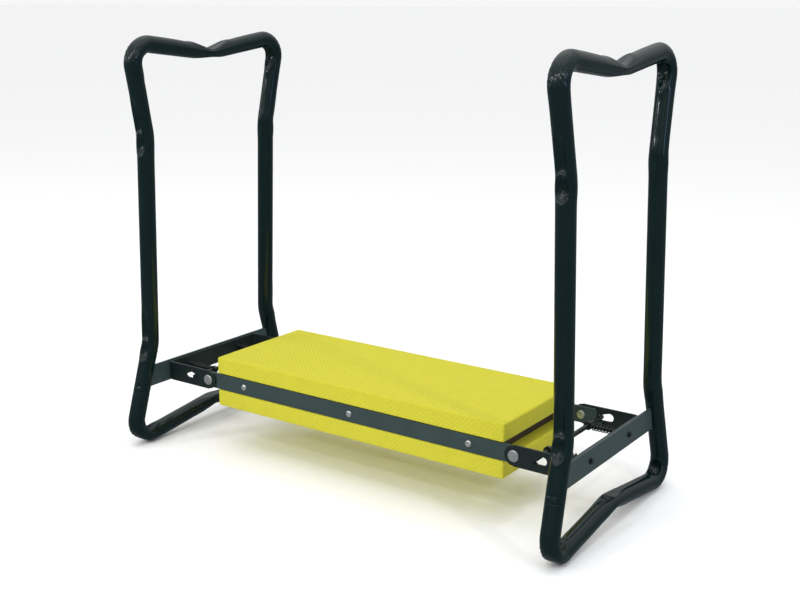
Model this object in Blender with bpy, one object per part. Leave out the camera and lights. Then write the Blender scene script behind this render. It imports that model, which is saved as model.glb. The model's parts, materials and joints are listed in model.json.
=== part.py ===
"""Folding garden kneeler and seat, modelled as an assembly of separate solids.

+X runs along the seat, +Y across its depth and +Z up. The origin is on the floor under the middle
of the seat. The seat hangs between two looped tube frames, each on a hinge bracket that turns on two
pivot rivets. A spring-loaded cross rod in each bracket locks the frame upright.
"""

import math

import bmesh
import bpy
from mathutils import Matrix, Vector

MM = 0.001

# Clearances between pieces, and how far a drill or cutter runs past what it cuts
TOUCH_GAP = 0.3 * MM
RUNNING_GAP = 0.1 * MM
CUT_MARGIN = 2.0 * MM

# Leg frames: one closed loop of round tube at each end of the seat
FRAME_X = 282.0 * MM
FRAME_LEAN = math.radians(1.86)
TUBE_DIAMETER = 20.0 * MM
TUBE_WALL = 1.2 * MM
TUBE_SIDES = 12
UPRIGHT_Y = 105.4 * MM
TOP_CORNER_Y = 126.8 * MM
FOOT_CORNER_Y = 140.0 * MM
LOW_BEND_HEIGHT = 42.8 * MM
WAIST_HEIGHT = 295.1 * MM
TOP_CORNER_HEIGHT = 401.0 * MM
FOOT_CORNER_DEPTH = 79.0 * MM
GRIP_DIP = 15.5 * MM
FOOT_ARCH = 18.5 * MM
LOW_BEND_RADIUS = 45.0 * MM
WAIST_RADIUS = 60.0 * MM
CORNER_RADIUS = 22.0 * MM
GRIP_DIP_RADIUS = 110.0 * MM
FOOT_ARCH_RADIUS = 30.0 * MM
SEAM_DEPTH = 17.0 * MM
SPIGOT_LENGTH = 24.0 * MM
SHOULDER_CHAMFER = 0.5 * MM

# Seat: board between two side rails, with a foam pad on each face
PIVOT_X = 212.0 * MM
SEAT_DEPTH = 152.0 * MM
RAIL_THICKNESS = 3.0 * MM
RAIL_HEIGHT = 19.0 * MM
LEDGE_CHAMFER = 2.0 * MM
BOARD_LENGTH = 364.0 * MM
BOARD_THICKNESS = 19.0 * MM
PAD_LENGTH = 397.4 * MM
PAD_THICKNESS = 20.6 * MM
PAD_EDGE_RADIUS = 2.5 * MM
SCREW_SPACING = 156.5 * MM
SCREW_SHANK_DIAMETER = 4.5 * MM
SCREW_HEAD_DIAMETER = 7.6 * MM
SCREW_HEAD_HEIGHT = 2.0 * MM
SCREW_LENGTH = 22.0 * MM
SCREW_POINT_LENGTH = 4.0 * MM
SCREW_TIP_LENGTH = 1.5 * MM
PILOT_DEPTH_SPARE = 1.0 * MM

# Hinge brackets, crossbars and pivots
PLATE_THICKNESS = 2.5 * MM
ARM_HEIGHT = 23.0 * MM
ARM_END_RADIUS = 11.0 * MM
BRACKET_BEND_RADIUS = 5.0 * MM
CROSSBAR_THICKNESS = 3.0 * MM
CROSSBAR_HEIGHT = 25.4 * MM
RIVET_DIAMETER = 8.0 * MM
RIVET_HEAD_DIAMETER = 12.6 * MM
RIVET_TAIL_DIAMETER = 10.0 * MM
RIVET_HEAD_HEIGHT = 1.6 * MM
RIVET_HEAD_BEVEL = 0.8 * MM

# Locks: a cross rod in the arms' slots, two guide rods and their springs
LOCK_DISTANCE = 22.3 * MM
LOCK_ROD_DIAMETER = 5.5 * MM
LOCK_TRAVEL = 11.0 * MM
SLOT_CLEARANCE = 0.35 * MM
SLOT_DOME_RADIUS = 4.7 * MM
LOCK_ROD_OVERHANG = 1.5 * MM
LOCK_ROD_CHAMFER = 0.5 * MM
SHANK_WELD = 1.0 * MM
GUIDE_ROD_DIAMETER = 5.0 * MM
GUIDE_ROD_OVERHANG = 2.5 * MM
GUIDE_SPACING = 46.0 * MM
GUIDE_CLEARANCE = 0.6 * MM
GUIDE_EYE_DIAMETER = 10.0 * MM
GUIDE_EYE_WIDTH = 4.0 * MM
SPRING_CLEARANCE = 0.7 * MM
SPRING_WIRE = 1.3 * MM
SPRING_COILS = 9
SPRING_STEPS_PER_COIL = 8
SPRING_WIRE_SIDES = 4

# Derived sizes
TUBE_RADIUS = TUBE_DIAMETER / 2
LOCK_ROD_RADIUS = LOCK_ROD_DIAMETER / 2
RAIL_OUTER_Y = SEAT_DEPTH / 2
RAIL_INNER_Y = RAIL_OUTER_Y - RAIL_THICKNESS
PAD_SEAT = max(RAIL_HEIGHT, BOARD_THICKNESS) / 2 + TOUCH_GAP
ARM_INNER_Y = RAIL_OUTER_Y + TOUCH_GAP
ARM_OUTER_Y = ARM_INNER_Y + PLATE_THICKNESS
CROSSBAR_OUTER_X = FRAME_X
CROSSBAR_INNER_X = CROSSBAR_OUTER_X - CROSSBAR_THICKNESS
WEB_OUTER_X = CROSSBAR_INNER_X - TOUCH_GAP
WEB_INNER_X = WEB_OUTER_X - PLATE_THICKNESS
LOCK_X = PIVOT_X + LOCK_DISTANCE
LEG_SLANT = math.atan2(FOOT_CORNER_Y - UPRIGHT_Y, LOW_BEND_HEIGHT + FOOT_CORNER_DEPTH)
GUIDE_HOLE_DIAMETER = GUIDE_ROD_DIAMETER + 2 * GUIDE_CLEARANCE
SPRING_DIAMETER = GUIDE_ROD_DIAMETER + 2 * (SPRING_CLEARANCE + SPRING_WIRE)

# Colours and finishes: base colour, roughness, metallic
GLOSS_GREEN = ((0.010, 0.028, 0.030), 0.18, 0.0)
DARK_STEEL = ((0.050, 0.068, 0.074), 0.38, 0.0)
ZINC = ((0.52, 0.55, 0.52), 0.35, 0.9)
SPRING_STEEL = ((0.12, 0.15, 0.15), 0.35, 0.8)
BROWN_BOARD = ((0.060, 0.045, 0.035), 0.75, 0.0)
YELLOW_FOAM = ((0.66, 0.62, 0.07), 0.85, 0.0)


def clear_scene():
    """Remove every object that the scene holds."""
    for obj in list(bpy.data.objects):
        bpy.data.objects.remove(obj, do_unlink=True)


def make_material(name, finish):
    """A Principled material of one colour, roughness and metallic value."""
    colour, roughness, metallic = finish
    material = bpy.data.materials.new(name)
    material.use_nodes = True
    shader = material.node_tree.nodes["Principled BSDF"]
    shader.inputs["Base Color"].default_value = (*colour, 1.0)
    shader.inputs["Roughness"].default_value = roughness
    shader.inputs["Metallic"].default_value = metallic
    material.diffuse_color = (*colour, 1.0)
    return material


def add_object(name, bm, finish, parent=None, smooth=False):
    """Turn a bmesh made in world coordinates into a named object under an optional parent."""
    bmesh.ops.recalc_face_normals(bm, faces=bm.faces)
    mesh = bpy.data.meshes.new(name)
    bm.to_mesh(mesh)
    bm.free()
    obj = bpy.data.objects.new(name, mesh)
    bpy.context.scene.collection.objects.link(obj)
    mesh.materials.append(make_material(name, finish))
    if smooth:
        mesh.shade_smooth()
        mesh.set_sharp_from_angle(angle=math.radians(35))
    if parent is not None:
        mesh.transform(Matrix.Translation(-parent.location))
        obj.parent = parent
    return obj


def add_axis(name, location):
    """An empty on a joint's axis, which carries the pieces of one moving body."""
    empty = bpy.data.objects.new(name, None)
    empty.location = location
    empty.empty_display_size = 0.02
    bpy.context.scene.collection.objects.link(empty)
    return empty


def add_cutter(name, bm):
    """A wire-display tool solid for Boolean cuts, which isn't a piece of the object."""
    bmesh.ops.recalc_face_normals(bm, faces=bm.faces)
    mesh = bpy.data.meshes.new(name)
    bm.to_mesh(mesh)
    bm.free()
    cutter = bpy.data.objects.new(name, mesh)
    cutter.hide_render = True
    cutter.display_type = "WIRE"
    bpy.context.scene.collection.objects.link(cutter)
    return cutter


def cut(obj, cutter, label):
    """Subtract a cutter from an object with a live Boolean modifier."""
    modifier = obj.modifiers.new(label, "BOOLEAN")
    modifier.operation = "DIFFERENCE"
    modifier.solver = "EXACT"
    modifier.object = cutter


def extrude_outline(bm, outline, near, far, to_world):
    """Close a flat outline of (u, v) points into a prism between two offsets."""
    near_ring = [bm.verts.new(to_world(u, v, near)) for u, v in outline]
    far_ring = [bm.verts.new(to_world(u, v, far)) for u, v in outline]
    count = len(outline)
    for i in range(count):
        j = (i + 1) % count
        bm.faces.new((near_ring[i], near_ring[j], far_ring[j], far_ring[i]))
    bm.faces.new(near_ring)
    bm.faces.new(far_ring)


def arc_points(centre, radius, start_deg, end_deg, steps):
    """Points on a circle's arc, both ends included."""
    cx, cy = centre
    angles = [math.radians(start_deg + (end_deg - start_deg) * i / steps) for i in range(steps + 1)]
    return [(cx + radius * math.cos(a), cy + radius * math.sin(a)) for a in angles]


def rounded_path(corners, radii, steps):
    """A polyline through flat corner points, with each inner corner replaced by an arc."""
    points = [Vector(corners[0])]
    for i in range(1, len(corners) - 1):
        corner = Vector(corners[i])
        back = (Vector(corners[i - 1]) - corner).normalized()
        ahead = (Vector(corners[i + 1]) - corner).normalized()
        half_angle = back.angle(ahead) / 2
        reach = radii[i] / math.tan(half_angle)
        centre = corner + (back + ahead).normalized() * (radii[i] / math.sin(half_angle))
        start = corner + back * reach - centre
        turn = math.pi - 2 * half_angle
        side = 1 if back.cross(ahead) < 0 else -1
        for k in range(steps[i] + 1):
            swing = Matrix.Rotation(side * turn * k / steps[i], 2)
            points.append(centre + swing @ start)
    points.append(Vector(corners[-1]))
    return points


def revolve(bm, profile, sides, place):
    """Spin a closed profile of (radius, height) points; radius 0 makes a pole."""
    rings = []
    for radius, height in profile:
        if radius == 0:
            rings.append([bm.verts.new(place @ Vector((0, 0, height)))])
            continue
        angles = [2 * math.pi * k / sides for k in range(sides)]
        ring = [Vector((radius * math.cos(a), radius * math.sin(a), height)) for a in angles]
        rings.append([bm.verts.new(place @ point) for point in ring])
    for lower, upper in zip(rings, rings[1:]):
        for k in range(sides):
            n = (k + 1) % sides
            if len(lower) == 1:
                bm.faces.new((lower[0], upper[n], upper[k]))
            elif len(upper) == 1:
                bm.faces.new((lower[k], lower[n], upper[0]))
            else:
                bm.faces.new((lower[k], lower[n], upper[n], upper[k]))


def along_axis(origin, direction):
    """Matrix that turns +Z onto a direction and moves it to an origin."""
    turn = Vector((0, 0, 1)).rotation_difference(Vector(direction)).to_matrix().to_4x4()
    return Matrix.Translation(Vector(origin)) @ turn


def cylinder(bm, radius, start, direction, length, sides):
    """A plain closed cylinder from a start point along a direction."""
    profile = [(0, 0), (radius, 0), (radius, length), (0, length)]
    revolve(bm, profile, sides, along_axis(start, direction))


# ---------------------------------------------------------------- leg frames

def leg_y_at(height):
    """Distance of a splayed lower leg's centre line from the middle, at a height over the pivot."""
    return UPRIGHT_Y + math.tan(LEG_SLANT) * (LOW_BEND_HEIGHT - height)


def upper_leg_corners():
    """Handle hoop corners in (y, height above pivot), from the near seam over the grip."""
    side = [(leg_y_at(-SEAM_DEPTH), -SEAM_DEPTH), (UPRIGHT_Y, LOW_BEND_HEIGHT), (UPRIGHT_Y, WAIST_HEIGHT),
            (TOP_CORNER_Y, TOP_CORNER_HEIGHT)]
    near = [(-y, z) for y, z in side]
    return near + [(0, TOP_CORNER_HEIGHT - GRIP_DIP)] + side[::-1]


def lower_leg_corners():
    """Foot hoop corners in (y, height above pivot), from the near spigot under the foot bar."""
    top = SPIGOT_LENGTH * math.cos(LEG_SLANT) - SEAM_DEPTH
    side = [(leg_y_at(top), top), (FOOT_CORNER_Y, -FOOT_CORNER_DEPTH)]
    near = [(-y, z) for y, z in side]
    return near + [(0, FOOT_ARCH - FOOT_CORNER_DEPTH)] + side[::-1]


def handle_hoop_path():
    """Centre line of the handle hoop."""
    radii = [0, LOW_BEND_RADIUS, WAIST_RADIUS, CORNER_RADIUS, GRIP_DIP_RADIUS,
             CORNER_RADIUS, WAIST_RADIUS, LOW_BEND_RADIUS, 0]
    steps = [0, 2, 2, 7, 3, 7, 2, 2, 0]
    return rounded_path(upper_leg_corners(), radii, steps)


def foot_hoop_path():
    """Centre line of the foot hoop, spigots included."""
    radii = [0, CORNER_RADIUS, FOOT_ARCH_RADIUS, CORNER_RADIUS, 0]
    steps = [0, 8, 2, 8, 0]
    return rounded_path(lower_leg_corners(), radii, steps)


PIVOT_Z = TUBE_RADIUS - min(point.y for point in foot_hoop_path())


def hollow_tube(bm, path, x, outer_radii, inner_radii):
    """An open-ended tube with its own radii at each path point, swept in a plane that passes
    through x at pivot height and leans towards the middle of the seat."""
    lean = math.copysign(math.tan(FRAME_LEAN), x)
    outer_rings = []
    inner_rings = []
    count = len(path)
    for i, point in enumerate(path):
        back = path[max(i - 1, 0)]
        ahead = path[min(i + 1, count - 1)]
        tangent = (ahead - back).normalized()
        normal = Vector((tangent.y, -tangent.x))
        stretch = 1.0
        if 0 < i < count - 1 and (point - back).length > 0 and (ahead - point).length > 0:
            half_turn = (point - back).angle(ahead - point) / 2
            stretch = 1 / math.cos(half_turn)
            bisector = ((point - back).normalized() + (ahead - point).normalized()).normalized()
            normal = Vector((bisector.y, -bisector.x))
        for radius, rings in ((outer_radii[i], outer_rings), (inner_radii[i], inner_rings)):
            ring = []
            for k in range(TUBE_SIDES):
                angle = 2 * math.pi * k / TUBE_SIDES
                flat = point + normal * (radius * stretch * math.cos(angle))
                world = (x + radius * math.sin(angle) - lean * flat.y, flat.x, PIVOT_Z + flat.y)
                ring.append(bm.verts.new(world))
            rings.append(ring)
    for rings in (outer_rings, inner_rings):
        for first, second in zip(rings, rings[1:]):
            for k in range(TUBE_SIDES):
                n = (k + 1) % TUBE_SIDES
                bm.faces.new((first[k], first[n], second[n], second[k]))
    for end in (0, -1):
        for k in range(TUBE_SIDES):
            n = (k + 1) % TUBE_SIDES
            outer, inner = outer_rings[end], inner_rings[end]
            bm.faces.new((outer[k], outer[n], inner[n], inner[k]))


def handle_hoop(side_name, x, parent):
    """The upper part of a leg frame: two uprights joined by the grip bar."""
    path = handle_hoop_path()
    bm = bmesh.new()
    outer = [TUBE_RADIUS] * len(path)
    inner = [TUBE_RADIUS - TUBE_WALL] * len(path)
    hollow_tube(bm, path, x, outer, inner)
    return add_object(f"handle_hoop_{side_name}", bm, GLOSS_GREEN, parent, smooth=True)


def foot_hoop(side_name, x, parent):
    """The lower part of a leg frame: the foot bar and its spigots, which fit in the uprights."""
    path = foot_hoop_path()
    lead = (path[1] - path[0]).normalized()
    shoulder = path[0] + lead * (SPIGOT_LENGTH + TOUCH_GAP)
    chamfer_end = shoulder + lead * SHOULDER_CHAMFER
    tail = (path[-2] - path[-1]).normalized()
    far_shoulder = path[-1] + tail * (SPIGOT_LENGTH + TOUCH_GAP)
    far_chamfer_end = far_shoulder + tail * SHOULDER_CHAMFER
    full = [path[0], shoulder, chamfer_end, *path[1:-1], far_chamfer_end, far_shoulder, path[-1]]
    spigot_outer = TUBE_RADIUS - TUBE_WALL - TOUCH_GAP
    spigot_inner = spigot_outer - TUBE_WALL
    middle = len(full) - 4
    outer = [spigot_outer] * 2 + [TUBE_RADIUS] * middle + [spigot_outer] * 2
    inner = [spigot_inner] * 2 + [TUBE_RADIUS - TUBE_WALL] * middle + [spigot_inner] * 2
    bm = bmesh.new()
    hollow_tube(bm, full, x, outer, inner)
    return add_object(f"foot_hoop_{side_name}", bm, GLOSS_GREEN, parent, smooth=True)


def guide_hole_cutter(name, sign):
    """Both guide rod holes of one side, as one cutter through the web and the crossbar."""
    bm = bmesh.new()
    start_x = WEB_INNER_X - CUT_MARGIN
    length = CROSSBAR_OUTER_X - WEB_INNER_X + 2 * CUT_MARGIN
    for y in (-GUIDE_SPACING, GUIDE_SPACING):
        start = (sign * start_x, y, PIVOT_Z)
        cylinder(bm, GUIDE_HOLE_DIAMETER / 2, start, (sign, 0, 0), length, 16)
    return add_cutter(name, bm)


def crossbar(side_name, sign, parent, holes):
    """The flat strip welded between the two legs of a frame."""
    half = CROSSBAR_HEIGHT / 2
    tube_reach = TUBE_RADIUS / math.cos(LEG_SLANT) + TOUCH_GAP
    outline = [(leg_y_at(-half) - tube_reach, -half), (leg_y_at(half) - tube_reach, half),
               (tube_reach - leg_y_at(half), half), (tube_reach - leg_y_at(-half), -half)]
    bm = bmesh.new()
    extrude_outline(bm, outline, sign * CROSSBAR_INNER_X, sign * CROSSBAR_OUTER_X,
                    lambda u, v, w: (w, u, PIVOT_Z + v))
    bar = add_object(f"crossbar_{side_name}", bm, DARK_STEEL, parent)
    cut(bar, holes, "guide holes")
    return bar


def convex_hull(points):
    """Counter-clockwise convex outline of flat points."""
    ordered = sorted(set(points))

    def half_hull(candidates):
        chain = []
        for p in candidates:
            while len(chain) > 1:
                (ax, ay), (bx, by) = chain[-2], chain[-1]
                if (bx - ax) * (p[1] - ay) - (by - ay) * (p[0] - ax) > 1e-12:
                    break
                chain.pop()
            chain.append(p)
        return chain[:-1]

    return half_hull(ordered) + half_hull(ordered[::-1])


def slot_outline():
    """Half-moon slot: the lock rod's seat at one end, running out under a taller dome."""
    seat_radius = LOCK_ROD_RADIUS + SLOT_CLEARANCE
    dome_centre = (LOCK_X + LOCK_TRAVEL, SLOT_DOME_RADIUS - seat_radius)
    seat = arc_points((LOCK_X, 0), seat_radius, 0, 337.5, 15)
    dome = arc_points(dome_centre, SLOT_DOME_RADIUS, 0, 340, 17)
    return convex_hull(seat + dome)


def hinge_bracket(side_name, sign, parent, holes):
    """A flat strip bent to a U: a web behind the crossbar and two arms to the pivots."""
    outer = BRACKET_BEND_RADIUS
    inner = outer - PLATE_THICKNESS
    bend_x = WEB_OUTER_X - outer
    bend_y = ARM_OUTER_Y - outer
    start_x = PIVOT_X - ARM_END_RADIUS
    outer_side = [(start_x, ARM_OUTER_Y), *arc_points((bend_x, bend_y), outer, 90, 0, 4)]
    inner_side = [*arc_points((bend_x, bend_y), inner, 0, 90, 4), (start_x, ARM_INNER_Y)]
    near_half = [(x, -y) for x, y in reversed(outer_side)]
    near_inner = [(x, -y) for x, y in reversed(inner_side)]
    outline = outer_side + near_half + near_inner + inner_side
    half = ARM_HEIGHT / 2
    bm = bmesh.new()
    extrude_outline(bm, outline, -half, half,
                    lambda u, v, w: (sign * u, v, PIVOT_Z + w))
    bracket = add_object(f"hinge_bracket_{side_name}", bm, DARK_STEEL, parent)

    ends = bmesh.new()
    far = ARM_OUTER_Y + CUT_MARGIN
    blank = [(start_x - CUT_MARGIN, -half - CUT_MARGIN), (PIVOT_X, -half - CUT_MARGIN),
             (PIVOT_X, -ARM_END_RADIUS)]
    blank += arc_points((PIVOT_X, 0), ARM_END_RADIUS, 270, 90, 12)[1:]
    blank += [(PIVOT_X, half + CUT_MARGIN), (start_x - CUT_MARGIN, half + CUT_MARGIN)]
    extrude_outline(ends, blank, -far, far, lambda u, v, w: (sign * u, w, PIVOT_Z + v))
    cut(bracket, add_cutter(f"arm_end_cutter_{side_name}", ends), "round arm ends")

    openings = bmesh.new()
    extrude_outline(openings, slot_outline(), -far, far,
                    lambda u, v, w: (sign * u, w, PIVOT_Z + v))
    rivet_hole = RIVET_DIAMETER / 2 + RUNNING_GAP
    cylinder(openings, rivet_hole, (sign * PIVOT_X, -far, PIVOT_Z), (0, 1, 0), 2 * far, 20)
    cut(bracket, add_cutter(f"arm_hole_cutter_{side_name}", openings), "slots and pivot holes")
    cut(bracket, holes, "guide holes")
    return bracket


# ---------------------------------------------------------------- locks

def lock_rod(side_name, sign, parent):
    """The cross rod through both arms' slots, which catches the ends of the side rails."""
    reach = ARM_OUTER_Y + LOCK_ROD_OVERHANG
    edge = LOCK_ROD_CHAMFER
    profile = [(0, 0), (LOCK_ROD_RADIUS - edge, 0), (LOCK_ROD_RADIUS, edge),
               (LOCK_ROD_RADIUS, 2 * reach - edge), (LOCK_ROD_RADIUS - edge, 2 * reach),
               (0, 2 * reach)]
    bm = bmesh.new()
    revolve(bm, profile, 16, along_axis((sign * LOCK_X, -reach, PIVOT_Z), (0, 1, 0)))
    return add_object(f"lock_rod_{side_name}", bm, SPRING_STEEL, parent, smooth=True)


def guide_rod(name, sign, y, parent):
    """A guide rod whose eye sits on the lock rod, running out through web and crossbar."""
    eye_radius = GUIDE_EYE_DIAMETER / 2
    rod_radius = GUIDE_ROD_DIAMETER / 2
    half_width = GUIDE_EYE_WIDTH / 2
    hole_radius = LOCK_ROD_RADIUS + RUNNING_GAP
    bm = bmesh.new()
    start = (sign * LOCK_X, y - half_width, PIVOT_Z)
    cylinder(bm, eye_radius, start, (0, 1, 0), GUIDE_EYE_WIDTH, 20)
    eye = add_object(name, bm, SPRING_STEEL, parent, smooth=True)

    shank = bmesh.new()
    shank_start = hole_radius + SHANK_WELD
    shank_length = CROSSBAR_OUTER_X + GUIDE_ROD_OVERHANG - LOCK_X - shank_start
    start = (sign * (LOCK_X + shank_start), y, PIVOT_Z)
    cylinder(shank, rod_radius, start, (sign, 0, 0), shank_length, 12)
    union = eye.modifiers.new("shank", "BOOLEAN")
    union.operation = "UNION"
    union.solver = "EXACT"
    union.object = add_cutter(f"{name}_shank", shank)

    bore = bmesh.new()
    start = (sign * LOCK_X, y - GUIDE_EYE_WIDTH, PIVOT_Z)
    cylinder(bore, hole_radius, start, (0, 1, 0), 2 * GUIDE_EYE_WIDTH, 16)
    cut(eye, add_cutter(f"{name}_bore", bore), "eye")
    return eye


def lock_spring(name, sign, y, parent):
    """A compression spring on a guide rod, between its eye and the bracket's web."""
    eye_face = GUIDE_EYE_DIAMETER / 2 + SPRING_WIRE / 2 + TOUCH_GAP
    start_x = LOCK_X + eye_face
    length = WEB_INNER_X - TOUCH_GAP - SPRING_WIRE / 2 - start_x
    coil_radius = (SPRING_DIAMETER - SPRING_WIRE) / 2
    wire_radius = SPRING_WIRE / 2
    steps = SPRING_COILS * SPRING_STEPS_PER_COIL
    bm = bmesh.new()
    rings = []
    for i in range(steps + 1):
        angle = 2 * math.pi * i / SPRING_STEPS_PER_COIL
        outward = Vector((0, math.cos(angle), math.sin(angle)))
        centre = Vector((sign * (start_x + length * i / steps), y, PIVOT_Z)) + outward * coil_radius
        ring = []
        for k in range(SPRING_WIRE_SIDES):
            turn = 2 * math.pi * k / SPRING_WIRE_SIDES
            offset = outward * math.cos(turn) + Vector((1, 0, 0)) * math.sin(turn)
            ring.append(bm.verts.new(centre + offset * wire_radius))
        rings.append(ring)
    for first, second in zip(rings, rings[1:]):
        for k in range(SPRING_WIRE_SIDES):
            n = (k + 1) % SPRING_WIRE_SIDES
            bm.faces.new((first[k], first[n], second[n], second[k]))
    bm.faces.new(rings[0])
    bm.faces.new(rings[-1])
    return add_object(name, bm, SPRING_STEEL, parent, smooth=True)


# ---------------------------------------------------------------- seat

def rail_end_outline():
    """Right end of a side rail in (x, height): round over the pivot, with a ledge for the lock rod."""
    half = RAIL_HEIGHT / 2
    rod_clearance = LOCK_ROD_RADIUS + SLOT_CLEARANCE
    end_radius = LOCK_DISTANCE - rod_clearance
    top_deg = math.degrees(math.asin(half / end_radius))
    ledge_deg = -math.degrees(math.asin(rod_clearance / end_radius))
    end = arc_points((PIVOT_X, 0), end_radius, top_deg, ledge_deg, 6)
    ledge_x = LOCK_X + LOCK_ROD_RADIUS
    corner = [(ledge_x, -half + LEDGE_CHAMFER), (ledge_x - LEDGE_CHAMFER, -half)]
    return end + [(ledge_x, -rod_clearance), *corner]


def side_rail(name, side):
    """A flat strip along one edge of the seat, drilled for pivots and screws."""
    right = rail_end_outline()
    left = [(-x, z) for x, z in reversed(right)]
    bm = bmesh.new()
    extrude_outline(bm, right + left, side * RAIL_INNER_Y, side * RAIL_OUTER_Y,
                    lambda u, v, w: (u, w, PIVOT_Z + v))
    rail = add_object(name, bm, DARK_STEEL)

    holes = bmesh.new()
    start_y = RAIL_INNER_Y - CUT_MARGIN
    length = RAIL_THICKNESS + 2 * CUT_MARGIN
    for x in (-PIVOT_X, PIVOT_X):
        start = (x, side * start_y, PIVOT_Z)
        cylinder(holes, RIVET_DIAMETER / 2 + RUNNING_GAP, start, (0, side, 0), length, 20)
    for x in (-SCREW_SPACING, 0, SCREW_SPACING):
        start = (x, side * start_y, PIVOT_Z)
        cylinder(holes, SCREW_SHANK_DIAMETER / 2 + TOUCH_GAP, start, (0, side, 0), length, 12)
    cut(rail, add_cutter(f"{name}_drill", holes), "pivot and screw holes")
    return rail


def rail_screw(name, x, side):
    """A dome-head screw through a side rail into the edge of the board."""
    seat_y = RAIL_OUTER_Y + TOUCH_GAP
    radius = SCREW_HEAD_DIAMETER / 2
    shank = SCREW_SHANK_DIAMETER / 2
    dome = [(radius * math.cos(a), SCREW_HEAD_HEIGHT * math.sin(a))
            for a in (0.0, math.pi / 6, math.pi / 3)]
    profile = [(0, -SCREW_LENGTH), (shank / 2, SCREW_TIP_LENGTH - SCREW_LENGTH),
               (shank, SCREW_POINT_LENGTH - SCREW_LENGTH), (shank, 0), *dome, (0, SCREW_HEAD_HEIGHT)]
    bm = bmesh.new()
    revolve(bm, profile, 12, along_axis((x, side * seat_y, PIVOT_Z), (0, side, 0)))
    return add_object(name, bm, ZINC, smooth=True)


def pivot_rivet(name, x, side):
    """A shouldered rivet that holds a bracket arm to a side rail and lets it turn."""
    head = RIVET_HEAD_DIAMETER / 2
    tail = RIVET_TAIL_DIAMETER / 2
    shank = RIVET_DIAMETER / 2
    inner_face = RAIL_INNER_Y - TOUCH_GAP
    outer_face = ARM_OUTER_Y + TOUCH_GAP
    grip = outer_face - inner_face
    height = RIVET_HEAD_HEIGHT
    profile = [(0, -height), (tail - RIVET_HEAD_BEVEL, -height), (tail, -height / 2), (tail, 0),
               (shank, 0), (shank, grip), (head, grip), (head, grip + height / 2),
               (head - RIVET_HEAD_BEVEL, grip + height), (0, grip + height)]
    bm = bmesh.new()
    revolve(bm, profile, 20, along_axis((x, side * inner_face, PIVOT_Z), (0, side, 0)))
    return add_object(name, bm, ZINC, smooth=True)


def box(bm, low, high):
    """A plain box between two corners."""
    size = [b - a for a, b in zip(low, high)]
    centre = [(a + b) / 2 for a, b in zip(low, high)]
    matrix = Matrix.Translation(centre) @ Matrix.Diagonal((*size, 1))
    bmesh.ops.create_cube(bm, size=1, matrix=matrix)


def seat_board():
    """The wooden board between the rails, with a blind pilot hole for each screw."""
    half_x = BOARD_LENGTH / 2
    half_y = RAIL_INNER_Y - TOUCH_GAP
    half_z = BOARD_THICKNESS / 2
    bm = bmesh.new()
    box(bm, (-half_x, -half_y, PIVOT_Z - half_z), (half_x, half_y, PIVOT_Z + half_z))
    board = add_object("seat_board", bm, BROWN_BOARD)
    pilots = bmesh.new()
    radius = SCREW_SHANK_DIAMETER / 2 + TOUCH_GAP
    tip_y = RAIL_OUTER_Y - SCREW_LENGTH - PILOT_DEPTH_SPARE
    for side in (-1, 1):
        for x in (-SCREW_SPACING, 0, SCREW_SPACING):
            start = (x, side * tip_y, PIVOT_Z)
            cylinder(pilots, radius, start, (0, side, 0), half_y + CUT_MARGIN - tip_y, 12)
    cut(board, add_cutter("board_pilot_drill", pilots), "pilot holes")
    return board


def foam_pad(name, up):
    """A closed-cell foam pad on one face of the board, with softened edges."""
    inner = PIVOT_Z + up * PAD_SEAT
    outer = inner + up * PAD_THICKNESS
    low_z, high_z = min(inner, outer), max(inner, outer)
    half_x = PAD_LENGTH / 2
    half_y = SEAT_DEPTH / 2
    bm = bmesh.new()
    box(bm, (-half_x, -half_y, low_z), (half_x, half_y, high_z))
    pad = add_object(name, bm, YELLOW_FOAM)
    bevel = pad.modifiers.new("soft edges", "BEVEL")
    bevel.width = PAD_EDGE_RADIUS
    bevel.segments = 2
    bevel.limit_method = "ANGLE"
    return pad


# ---------------------------------------------------------------- assembly

def build_end(side_name, sign):
    """One leg frame with its bracket and lock, standing at the seat's left or right end."""
    frame_axis = add_axis(f"{side_name}_fold_axis", Vector((sign * PIVOT_X, 0, PIVOT_Z)))
    holes = guide_hole_cutter(f"guide_hole_cutter_{side_name}", sign)
    handle_hoop(side_name, sign * FRAME_X, frame_axis)
    foot_hoop(side_name, sign * FRAME_X, frame_axis)
    crossbar(side_name, sign, frame_axis, holes)
    hinge_bracket(side_name, sign, frame_axis, holes)

    lock_axis = add_axis(f"{side_name}_lock_axis", Vector((sign * LOCK_X, 0, PIVOT_Z)))
    lock_rod(side_name, sign, lock_axis)
    for place, y in (("front", -GUIDE_SPACING), ("back", GUIDE_SPACING)):
        guide_rod(f"guide_rod_{side_name}_{place}", sign, y, lock_axis)
        lock_spring(f"lock_spring_{side_name}_{place}", sign, y, frame_axis)


def build_seat():
    """The seat: board, rails, pads, screws and the pivot rivets."""
    seat_board()
    foam_pad("foam_pad_top", 1)
    foam_pad("foam_pad_bottom", -1)
    for place, side in (("front", -1), ("back", 1)):
        side_rail(f"side_rail_{place}", side)
        for end, x in (("left", -SCREW_SPACING), ("middle", 0.0), ("right", SCREW_SPACING)):
            rail_screw(f"rail_screw_{place}_{end}", x, side)
        for end, x in (("left", -PIVOT_X), ("right", PIVOT_X)):
            pivot_rivet(f"pivot_rivet_{place}_{end}", x, side)


def main():
    """Build the whole kneeler."""
    clear_scene()
    build_seat()
    build_end("left", -1)
    build_end("right", 1)


main()
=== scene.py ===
"""Looks of a folding garden kneeler seat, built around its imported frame.

Lengths are in metres. +X runs along the seat, +Y across its depth and +Z up. Each leg frame is a
loop of round tube in a plane that leans a little towards the middle, and its sizes are measured from
the fold pivots.
"""

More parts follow.
